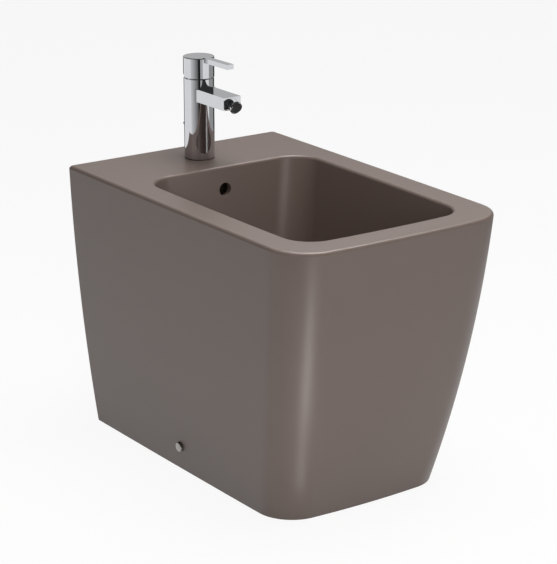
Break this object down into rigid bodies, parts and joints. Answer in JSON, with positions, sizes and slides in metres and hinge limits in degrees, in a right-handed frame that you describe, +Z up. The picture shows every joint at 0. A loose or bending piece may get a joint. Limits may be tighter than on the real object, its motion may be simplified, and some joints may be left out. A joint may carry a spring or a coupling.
{
  "type": "floor standing bidet",
  "caption": "Back-to-wall floor standing bidet in satin brown glaze with a single lever tap, swivelling nozzle, pop-up waste and bottle trap.",
  "frame": {"origin": "on the floor, in the middle of the body's width and depth", "axes": "+Z up, +Y towards the wall behind the bidet, the user at -Y, +X to the right seen from the front"},
  "size_m": [0.36, 0.56, 0.5514],
  "materials": {
    "glaze": "satin brown-grey glaze",
    "chrome": "bright chrome",
    "plated_pipe": "plain chrome plate",
    "rubber": "black rubber",
    "raw_brass": "machined brass",
    "steel": "zinc plated steel",
    "white_plastic": "white acetal",
    "grey_plastic": "grey moulded plastic",
    "alumina": "ground alumina"
  },
  "bodies": {
    "root": {"ceramic_body": "glaze", "tap_gasket": "rubber", "tap_body": "chrome", "cartridge_body": "grey_plastic", "fixed_disc": "alumina", "cartridge_nut": "raw_brass", "dome_ring": "chrome", "nozzle_adapter": "chrome", "mounting_stud": "raw_brass", "clamp_rubber": "rubber", "clamp_plate": "steel", "clamp_nut": "raw_brass", "pivot_nut": "plated_pipe", "pivot_seat": "white_plastic", "waste_flange": "chrome", "flange_gasket": "rubber", "waste_body": "raw_brass", "waste_washer": "rubber", "waste_nut": "raw_brass", "trap_inlet_nut": "plated_pipe", "trap_inlet_seal": "rubber", "trap_inlet_pipe": "plated_pipe", "trap_body": "plated_pipe", "trap_top_nut": "plated_pipe", "trap_top_seal": "rubber", "trap_cup": "plated_pipe", "trap_cup_seal": "rubber", "trap_outlet_nut": "plated_pipe", "trap_outlet_seal": "rubber", "outlet_pipe": "plated_pipe", "floor_bracket_left": "steel", "floor_bracket_right": "steel", "side_screws": "steel", "side_bushes": "white_plastic", "side_caps": "chrome"},
    "swivel": {"cartridge_carrier": "white_plastic", "tilt_pin": "steel"},
    "disc": {"moving_disc": "alumina"},
    "handle": {"spindle": "raw_brass", "tap_handle": "chrome", "handle_screw": "steel", "handle_plug": "chrome"},
    "nozzle_turner": {"nozzle_ring": "rubber"},
    "nozzle": {"nozzle_housing": "chrome", "aerator": "grey_plastic"},
    "lift": {"lift_rod": "steel", "lift_knob": "chrome", "lift_strap": "steel", "strap_screw": "steel"},
    "lever_rod": {"ball_rod": "steel", "rod_clip": "steel"},
    "plug": {"plug_cap": "chrome", "plug_seal": "rubber", "plug_stem": "white_plastic"}
  },
  "joints": [
    {"name": "handle_swivel", "type": "hinge", "parent": "root", "child": "swivel", "pos_m": [0, 0.21, 0.505], "axis": [0, 0, 1], "range_deg": [-45, 45]},
    {"name": "handle_lift", "type": "hinge", "parent": "swivel", "child": "handle", "pos_m": [0, 0.21, 0.505], "axis": [-1, 0, 0], "range_deg": [0, 20]},
    {"name": "disc_slide", "type": "slide", "parent": "swivel", "child": "disc", "axis": [0, -1, 0], "range_m": [0, 0.0032]},
    {"name": "nozzle_swing", "type": "hinge", "parent": "root", "child": "nozzle_turner", "pos_m": [0, 0.1185, 0.49333], "axis": [0, 0, 1], "range_deg": [-12, 12]},
    {"name": "nozzle_nod", "type": "hinge", "parent": "nozzle_turner", "child": "nozzle", "pos_m": [0, 0.1185, 0.49333], "axis": [1, 0, 0], "range_deg": [-12, 12]},
    {"name": "popup_lift", "type": "slide", "parent": "root", "child": "lift", "axis": [0, 0, 1], "range_m": [0, 0.024]},
    {"name": "rod_pivot", "type": "hinge", "parent": "root", "child": "lever_rod", "pos_m": [0, 0.09, 0.16], "axis": [1, 0, 0], "range_deg": [0, 10]},
    {"name": "plug_drop", "type": "slide", "parent": "root", "child": "plug", "axis": [0, 0, -1], "range_m": [0, 0.0051]}
  ],
  "couplings": [
    {"joint": "disc_slide", "follows": "handle_lift", "m_per_rad": 0.00915},
    {"joint": "rod_pivot", "follows": "popup_lift", "rad_per_m": 7.26},
    {"joint": "plug_drop", "follows": "popup_lift", "ratio": 0.2115}
  ]
}
